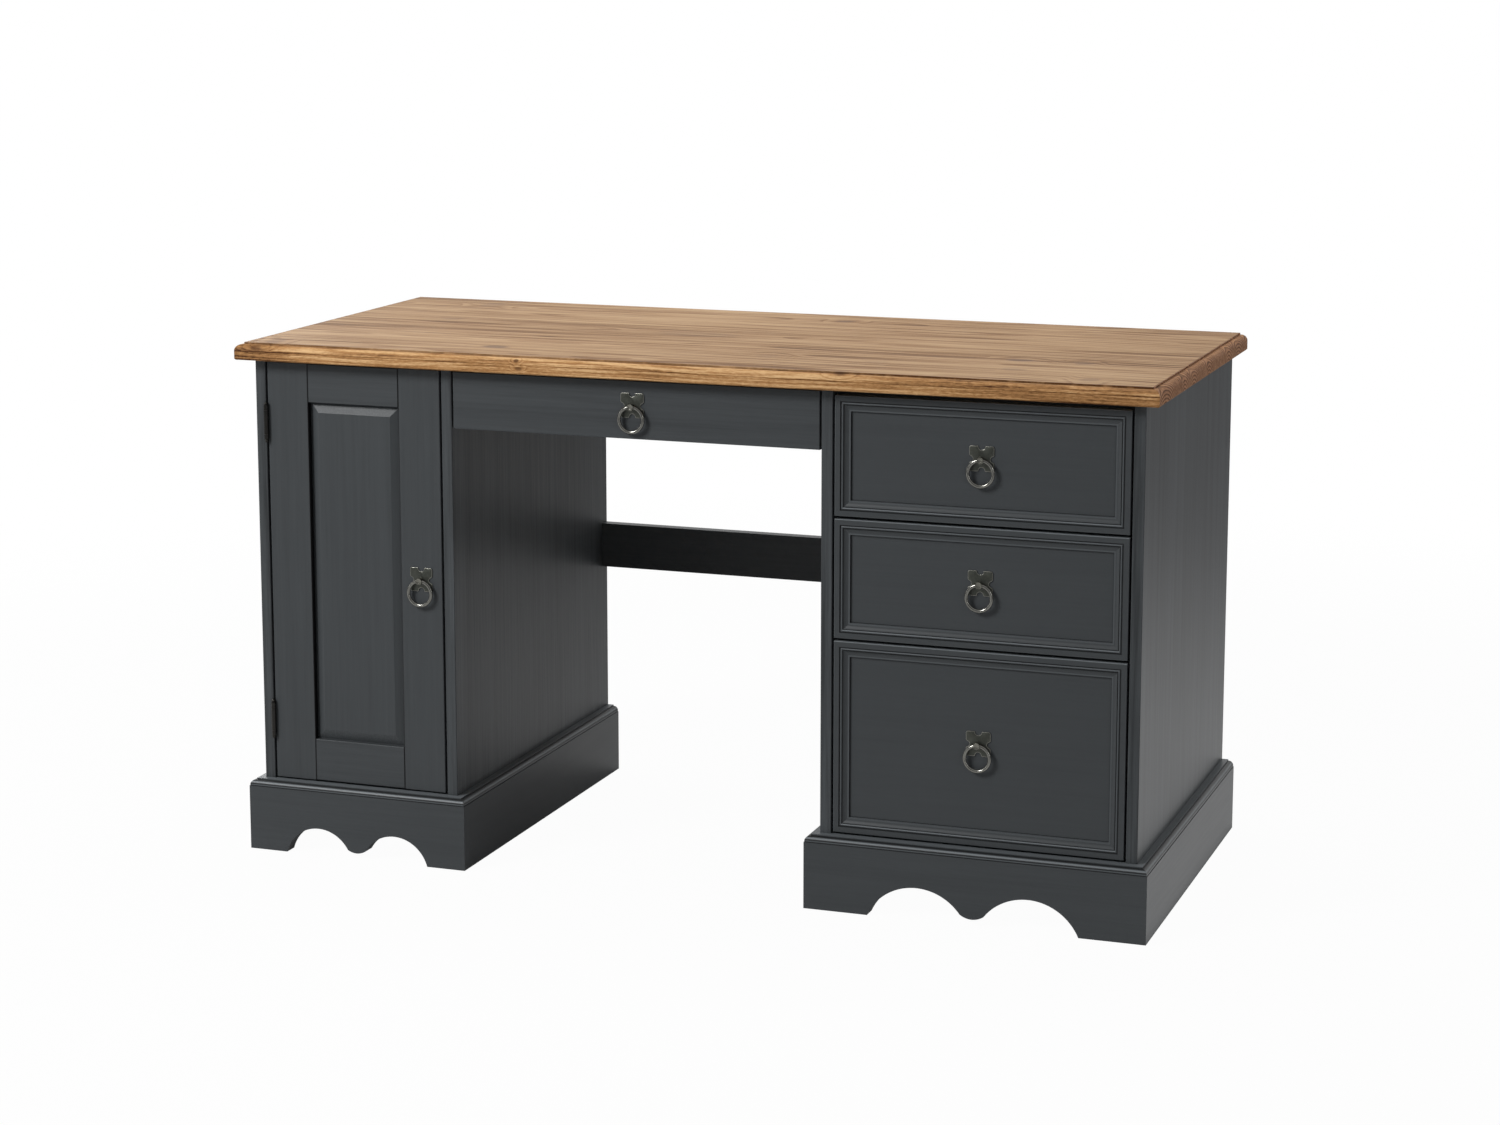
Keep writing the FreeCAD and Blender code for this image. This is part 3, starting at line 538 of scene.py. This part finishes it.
dressed = {
    "sideBoard": ["left_cabinet_outer_side", "left_cabinet_inner_side",
                  "right_cabinet_inner_side", "right_cabinet_outer_side", "left_cabinet_back",
                  "right_cabinet_back"],
    "uprightBoard": ["door_left_stile", "door_right_stile"],
    "panelBoard": ["door_panel"],
    "drawerBoard": ["lower_drawer_front", "middle_drawer_front", "upper_drawer_front"],
    "plinthFront": ["left_plinth_front", "right_plinth_front"],
    "plinthSide": ["left_plinth_sides", "right_plinth_sides"],
    "railBoard": ["centre_drawer_front", "stretcher_rail", "left_cabinet_base",
                  "right_cabinet_base", "cabinet_shelf", "left_cabinet_top_rails",
                  "right_cabinet_top_rails"],
    "doorRail": ["door_top_rail", "door_bottom_rail"],
    "top": ["desk_top"],
    "bareDeep": ["centre_drawer_runners", "pedestal_drawer_runners", "centre_drawer_sides",
                 "lower_drawer_sides", "middle_drawer_sides", "upper_drawer_sides"],
    "bareAcross": ["plinth_back_rails", "centre_drawer_back", "lower_drawer_back",
                   "middle_drawer_back", "upper_drawer_back"],
    "bareUp": ["plinth_blocks"],
    "bottom": ["centre_drawer_bottom", "lower_drawer_bottom", "middle_drawer_bottom",
               "upper_drawer_bottom"],
    "black": ["hinge_cabinet_leaves", "hinge_door_leaves", "hinge_pins"],
    "zinc": ["assembly_screws", "shelf_pins", "door_strike"],
    "catch": ["door_catch"],
}
for finishName, nodes in dressed.items():
    for node in nodes:
        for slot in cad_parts[node].material_slots:
            slot.material = finishes[finishName]
print("boards dressed")

weldReach = 1e-6


def pieceFrom(shape, name, finishNames, sharp=35.0):
    # closes, smooths and links a bmesh as a finished piece; edges over sharp degrees stay crisp
    bmesh.ops.remove_doubles(shape, verts=shape.verts, dist=weldReach)
    bmesh.ops.recalc_face_normals(shape, faces=shape.faces)
    for face in shape.faces:
        face.smooth = True
    for edge in shape.edges:
        edge.smooth = len(edge.link_faces) == 2 and edge.calc_face_angle(0.0) < math.radians(sharp)
    mesh = bpy.data.meshes.new(name)
    shape.to_mesh(mesh)
    shape.free()
    for finishName in finishNames:
        mesh.materials.append(finishes[finishName])
    piece = bpy.data.objects.new(name, mesh)
    scene.collection.objects.link(piece)
    return piece


def spunShape(profile, steps, axis):
    # a turned shape about Y or X; profile holds (radius, distance along the axis) from end to end
    shape = bmesh.new()
    along = {"X": lambda r, d: (d, 0, r), "Y": lambda r, d: (0, d, r)}[axis]
    corners = [shape.verts.new(along(r, d)) for r, d in profile]
    edges = [shape.edges.new(pair) for pair in zip(corners, corners[1:])]
    bmesh.ops.spin(shape, geom=corners + edges, cent=(0, 0, 0), axis=Vector(along(0, 1)),
                   dvec=(0, 0, 0), angle=2 * math.pi, steps=steps, use_merge=True,
                   use_duplicate=False)
    return shape


# ring handle: notched backplate, turned stud with an eye, hexagonal nut behind, loose ring; in
# metres, from the eye's middle. A notch has its half width, depth, the share of that width at its
# bottom, and the radii at its mouth and at its bottom
handle = {
    "plateSize": 0.0348, "plateRise": 0.0016, "plateThickness": 0.0016, "plateBack": 0.0069,
    "topNotch": {"half": 0.0050, "deep": 0.0054, "waist": 0.78, "mouth": 0.0008, "bed": 0.0033},
    "lowNotch": {"half": 0.0048, "deep": 0.0054, "waist": 0.72, "mouth": 0.0010, "bed": 0.0030},
    "sideNotch": {"half": 0.0052, "deep": 0.0052, "waist": 0.45, "mouth": 0.0012, "bed": 0.0022},
    "sideDrop": 0.0006, "corner": 0.0028, "cornerSegments": 5,
    "plateArris": 0.0006, "arrisSegments": 2, "frontFacing": 0.9, "highlightFacing": (0.2, 0.98),
    "studProfile": ((0.0, -0.0041), (0.0024, -0.0041), (0.0033, -0.0046), (0.0042, -0.0046),
                    (0.0048, -0.0040), (0.0048, -0.0034), (0.00515, -0.0022), (0.0053, 0.0),
                    (0.0049, 0.0020), (0.0040, 0.0035), (0.0030, 0.0044), (0.0024, 0.0047)),
    "shankRadius": 0.0024, "studSteps": 40,
    "eyeProfile": ((0.0, -0.0058), (0.0044, -0.0058), (0.0031, -0.0015), (0.0031, 0.0015),
                   (0.0044, 0.0058), (0.0, 0.0058)),
    "eyeSteps": 32, "nutRadius": 0.0050, "nutHeight": 0.0040, "nutSides": 6, "boardBack": -0.258,
    "ringWire": 0.0026, "ringRadius": 0.0178, "wireSteps": 24, "ringSteps": 72,
    "ringSharp": 60.0, "plateFinishes": ["plate", "stud", "arrisWearAndHighlight"],
}
# the middle of each ring's eye, by the body that carries the handle
eyes = {"door": (-0.3975, -0.2849, 0.4215), "centre_drawer": (-0.069, -0.2849, 0.692),
        "lower_drawer": (0.433, -0.2779, 0.250), "middle_drawer": (0.433, -0.2779, 0.4735),
        "upper_drawer": (0.433, -0.2779, 0.6445)}


def plateOutline():
    # corners of the backplate in order, each with the radius that rounds it
    half, corner, drop = handle["plateSize"] / 2, handle["corner"], handle["sideDrop"]
    top, low, side = handle["topNotch"], handle["lowNotch"], handle["sideNotch"]
    waist, inner = side["half"] * side["waist"], half - side["deep"]
    right = [(top["half"], half, top["mouth"]), (half, half, corner),
             (half, side["half"] - drop, side["mouth"]), (inner, waist - drop, side["bed"]),
             (inner, -waist - drop, side["bed"]), (half, -side["half"] - drop, side["mouth"]),
             (half, -half, corner), (low["half"], -half, low["mouth"]),
             (low["half"] * low["waist"], low["deep"] - half, low["bed"])]
    left = [(-u, v, radius) for u, v, radius in reversed(right)]
    waist = top["half"] * top["waist"]
    return right + left + [(u, half - top["deep"], top["bed"]) for u in (-waist, waist)]


def plateShape():
    shape = bmesh.new()
    outline = plateOutline()
    corners = [shape.verts.new((u, 0, v + handle["plateRise"])) for u, v, radius in outline]
    shape.faces.new(corners)
    for rounding in sorted({radius for u, v, radius in outline}):
        chosen = [vert for vert, (u, v, radius) in zip(corners, outline) if radius == rounding]
        bmesh.ops.bevel(shape, geom=chosen, offset=rounding, offset_type="OFFSET",
                        affect="VERTICES", segments=handle["cornerSegments"], profile=0.5,
                        material=-1)
    grown = bmesh.ops.extrude_face_region(shape, geom=shape.faces[:])["geom"]
    bmesh.ops.translate(shape, verts=[v for v in grown if isinstance(v, bmesh.types.BMVert)],
                        vec=(0, -handle["plateThickness"], 0))
    bmesh.ops.recalc_face_normals(shape, faces=shape.faces)
    rim = [edge for face in shape.faces if -face.normal.y > handle["frontFacing"]
           for edge in face.edges]
    bmesh.ops.bevel(shape, geom=rim, offset=handle["plateArris"], affect="EDGES",
                    segments=handle["arrisSegments"], profile=0.5, material=-1)
    shape.normal_update()
    # the bevels round the front face take the lighter finish: wear and painted highlight
    low, high = handle["highlightFacing"]
    for face in shape.faces:
        finishName = "arrisWearAndHighlight" if low < -face.normal.y < high else "plate"
        face.material_index = handle["plateFinishes"].index(finishName)
    bmesh.ops.translate(shape, verts=shape.verts, vec=(0, handle["plateBack"], 0))
    return shape


def studShape(name, shank):
    # stud and its shank, which ends behind the board; a turned cutter makes the ring's eye
    ends = ((handle["shankRadius"], shank), (0.0, shank))
    stud = pieceFrom(spunShape(handle["studProfile"] + ends, handle["studSteps"], "Y"), name, [])
    cutter = pieceFrom(spunShape(handle["eyeProfile"], handle["eyeSteps"], "X"), name + "Eye", [])
    cut = stud.modifiers.new("eye", "BOOLEAN")
    cut.operation, cut.solver, cut.object = "DIFFERENCE", "EXACT", cutter
    graph = bpy.context.evaluated_depsgraph_get()
    solid = bpy.data.meshes.new_from_object(stud.evaluated_get(graph))
    shape = bmesh.new()
    shape.from_mesh(solid)
    for face in shape.faces:
        face.material_index = handle["plateFinishes"].index("stud")
    for extra in (stud, cutter):
        bpy.data.objects.remove(extra)
    bpy.data.meshes.remove(solid)
    return shape


def nutShape(back):
    shape = bmesh.new()
    place = Matrix.Translation((0, back - handle["nutHeight"] / 2, 0))
    bmesh.ops.create_cone(shape, cap_ends=True, segments=handle["nutSides"],
                          radius1=handle["nutRadius"], radius2=handle["nutRadius"],
                          depth=handle["nutHeight"],
                          matrix=place @ Matrix.Rotation(math.pi / 2, 4, "X"))
    return shape


def ringShape(eye):
    # a round wire bent into a ring, which hangs from the eye
    shape = bmesh.new()
    bmesh.ops.create_circle(shape, segments=handle["wireSteps"], radius=handle["ringWire"],
                            matrix=Matrix.Translation((handle["ringRadius"], 0, 0)))
    bmesh.ops.spin(shape, geom=shape.verts[:] + shape.edges[:], cent=(0, 0, 0), axis=(0, 1, 0),
                   dvec=(0, 0, 0), angle=2 * math.pi, steps=handle["ringSteps"], use_merge=True,
                   use_duplicate=False)
    bmesh.ops.translate(shape, verts=shape.verts,
                        vec=Vector(eye) - Vector((0, 0, handle["ringRadius"])))
    return shape


def joined(shapes):
    whole = bmesh.new()
    for shape in shapes:
        mesh = bpy.data.meshes.new("part")
        shape.to_mesh(mesh)
        shape.free()
        whole.from_mesh(mesh)
        bpy.data.meshes.remove(mesh)
    return whole


def makeHandle(owner, eye):
    nutBack = handle["boardBack"] - eye[1] + handle["nutHeight"]
    shape = joined([plateShape(), studShape(owner + "Stud", nutBack), nutShape(nutBack)])
    bmesh.ops.translate(shape, verts=shape.verts, vec=eye)
    plate = pieceFrom(shape, owner + "HandlePlate", handle["plateFinishes"])
    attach(plate, owner)
    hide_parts(owner + "_handle")

    ring = pieceFrom(ringShape(eye), owner + "HandleRing", ["ring"], handle["ringSharp"])
    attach(ring, owner + "_ring")
    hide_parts(owner + "_ring")


for owner, eye in eyes.items():
    makeHandle(owner, eye)
print("handles made:", len(eyes))

# nail heads round the two back panels, a little sunk into them
nails = {"radius": 0.0028, "topShare": 0.7, "height": 0.0009, "segments": 10, "spacing": 0.115,
         "inset": 0.009, "bury": 0.0002, "digits": 5}


def nailPlaces(low, high):
    # (X, Z) along the four edges; rounding makes the corners that two edges share the same
    places = set()
    for side in (0, 1):
        count = max(2, round((high[side] - low[side]) / nails["spacing"]))
        for k in range(count + 1):
            along = round(low[side] + (high[side] - low[side]) * k / count, nails["digits"])
            for edge in (low[1 - side], high[1 - side]):
                other = round(edge, nails["digits"])
                places.add((other, along) if side else (along, other))
    return sorted(places)


def makeNails(node):
    box = [Vector(corner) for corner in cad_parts[node].bound_box]
    low = [min(corner[i] for corner in box) + nails["inset"] for i in (alongX, alongZ)]
    high = [max(corner[i] for corner in box) - nails["inset"] for i in (alongX, alongZ)]
    back = max(corner[alongY] for corner in box)
    middle = back + nails["height"] / 2 - nails["bury"]
    turn = Matrix.Rotation(-math.pi / 2, 4, "X")
    shape = bmesh.new()
    for x, z in nailPlaces(low, high):
        bmesh.ops.create_cone(shape, cap_ends=True, segments=nails["segments"],
                              radius1=nails["radius"],
                              radius2=nails["radius"] * nails["topShare"],
                              depth=nails["height"],
                              matrix=Matrix.Translation((x, middle, z)) @ turn)
    heads = pieceFrom(shape, node + "Nails", ["zinc"])
    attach(heads, "cabinet")


for node in ("left_cabinet_back", "right_cabinet_back"):
    makeNails(node)
print("back panels nailed")

# pale floor and soft light; by way of gloss the desk sees a white sheet on the floor, which fades
# outwards, in the middle and in front and is dim under the desk as a painted shadow, and a white
# backdrop that is dim in front
studio = {
    "white": (1.0, 1.0, 1.0, 1.0), "floorSize": 14.0, "floorColour": (0.5, 0.5, 0.5, 1.0),
    "floorRoughness": 0.9, "glow": 0.97, "clear": (1.6, 3.0),
    "sheetNear": (-0.03, 0.02), "sheetShadowUnder": 0.12, "sheetFar": (0.3, 2.6), "sheetLeft": 0.05,
    "sheetAside": (0.4, 0.8), "sheetMiddle": 0.72, "sheetAhead": (0.35, 1.0), "sheetFront": 0.3,
    "air": (0.95, 0.97, 1.0, 1.0), "airStrength": 0.2,
    "dimAhead": (-0.4, 0.3), "dimLift": 0.5, "dimShare": 0.1,
}


def between(share, low):
    # from low to 1 as the share goes from 0 to 1
    return share * (1.0 - low) + low


def floorFinish():
    finish = Finish("paleFloor", Base_Color=studio["floorColour"],
                    Roughness=studio["floorRoughness"])
    x, y, z = finish.axes(finish.place)
    far = (x * x + y * y).root().rise(*studio["clear"])
    beside = (abs(x) - halfLength).most(abs(y) - halfDepth)
    # painted shadow: the sheet is dim under the desk
    sheet = between(beside.rise(*studio["sheetNear"]), studio["sheetShadowUnder"])
    sheet = sheet * (1.0 - beside.rise(*studio["sheetFar"])) + studio["sheetLeft"]
    sheet = sheet * between(abs(x).rise(*studio["sheetAside"]), studio["sheetMiddle"])
    sheet = sheet * (1.0 - (-1.0 * y).rise(*studio["sheetAhead"]) * (1.0 - studio["sheetFront"]))
    share = finish.seen(between(far, studio["glow"]), sheet)
    plain = Wire(finish, finish.shader.outputs[0])
    glow = finish.node("ShaderNodeEmission", {}, {"Color": studio["white"]})
    mix = finish.node("ShaderNodeMixShader", {}, {0: share, 1: plain, 2: glow})
    finish.link(mix, finish.tree.nodes["Material Output"].inputs["Surface"])
    return finish.material


def makeFloor():
    shape = bmesh.new()
    bmesh.ops.create_grid(shape, x_segments=1, y_segments=1, size=studio["floorSize"])
    mesh = bpy.data.meshes.new("floor")
    shape.to_mesh(mesh)
    shape.free()
    mesh.materials.append(floorFinish())
    floor = bpy.data.objects.new("floor", mesh)
    scene.collection.objects.link(floor)


def makeWorld():
    world = bpy.data.worlds.new("studio")
    scene.world = world
    world.use_nodes = True
    graph = Graph(world.node_tree)
    air = graph.node("ShaderNodeBackground", {},
                     {"Color": studio["air"], "Strength": studio["airStrength"]})
    white = graph.node("ShaderNodeBackground", {}, {"Color": studio["white"]})
    x, y, z = graph.axes(graph.node("ShaderNodeTexCoord", {}, {}, "Generated"))
    backdrop = between((y + z.most(0.0) * studio["dimLift"]).rise(*studio["dimAhead"]),
                       studio["dimShare"])
    mix = graph.node("ShaderNodeMixShader", {}, {0: graph.seen(1.0, backdrop), 1: air, 2: white})
    graph.link(mix, world.node_tree.nodes["World Output"].inputs["Surface"])


def addLamp(name, place, target, size, power):
    data = bpy.data.lights.new(name, "AREA")
    data.shape, data.energy = "ELLIPSE", power
    data.size, data.size_y = size
    lamp = bpy.data.objects.new(name, data)
    lamp.location = place
    aim = Vector(target) - Vector(place)
    lamp.rotation_euler = aim.to_track_quat("-Z", "Y").to_euler()
    scene.collection.objects.link(lamp)


# place, target, width and height, power
lamps = {
    "keyLamp": ((-2.4, -3.2, 3.1), (0.0, -0.2, 0.4), (1.6, 1.6), 176.0),
    "fillLamp": ((2.9, -2.6, 1.2), (0.3, -0.2, 0.3), (0.3, 1.6), 9.0),
    "sideLamp": ((-3.6, -2.0, 1.3), (-0.2, -0.2, 0.4), (0.3, 1.6), 7.0),
    "topLamp": ((0.0, 0.7, 3.2), (0.0, 0.1, 0.6), (1.6, 1.6), 34.0),
    "rightLamp": ((3.8, 0.8, 1.6), (0.6, 0.0, 0.4), (1.2, 1.2), 11.0),
    "backLamp": ((-3.0, 2.6, 1.5), (0.0, 0.2, 0.4), (1.2, 1.2), 40.0),
}
# the camera as fitted; its focal length and the row of its optical axis are in pixels, on a
# picture of columns by rows
view = {"place": (1.5493, -4.3212, 1.3619), "yaw": -19.662, "pitch": -9.538, "focal": 3164.0,
        "centreRow": 450.0, "columns": 1500, "rows": 1125, "sensor": 36.0}


def makeCamera():
    data = bpy.data.cameras.new("camera")
    data.sensor_width = view["sensor"]
    data.lens = view["sensor"] * view["focal"] / view["columns"]
    data.shift_y = (view["centreRow"] - view["rows"] / 2) / view["columns"]
    camera = bpy.data.objects.new("camera", data)
    yaw, pitch = math.radians(view["yaw"]), math.radians(view["pitch"])
    look = Vector((math.sin(yaw) * math.cos(pitch), math.cos(yaw) * math.cos(pitch),
                   math.sin(pitch)))
    camera.location = view["place"]
    camera.rotation_euler = look.to_track_quat("-Z", "Y").to_euler()
    scene.collection.objects.link(camera)
    scene.camera = camera


makeFloor()
makeWorld()
for name, (place, target, size, power) in lamps.items():
    addLamp(name, place, target, size, power)
makeCamera()
print("studio made")
